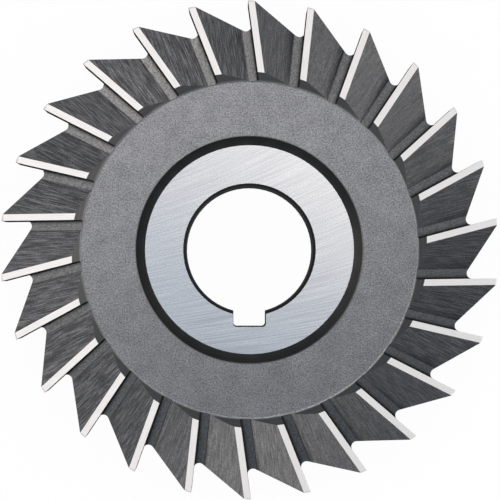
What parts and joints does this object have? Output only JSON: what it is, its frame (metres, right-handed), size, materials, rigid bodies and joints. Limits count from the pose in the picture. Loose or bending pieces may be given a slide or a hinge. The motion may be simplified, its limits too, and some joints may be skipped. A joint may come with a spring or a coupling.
{
  "type": "side and face milling cutter",
  "caption": "Solid disc milling cutter with straight teeth on its rim and both sides, a recessed web, ground hub faces and a keyed centre bore.",
  "frame": {"origin": "bore axis, on the plane that the lower side teeth and the lower hub face stand on", "axes": "+Z along the bore axis, up out of the side shown in the picture; -Y towards the keyway; +X to the right in the picture"},
  "size_m": [0.0994, 0.1, 0.013],
  "materials": {
    "tool_steel": "ground lands and hub faces, milled gullets, blasted web"
  },
  "bodies": {
    "root": {"cutter": "tool_steel"}
  },
  "joints": []
}
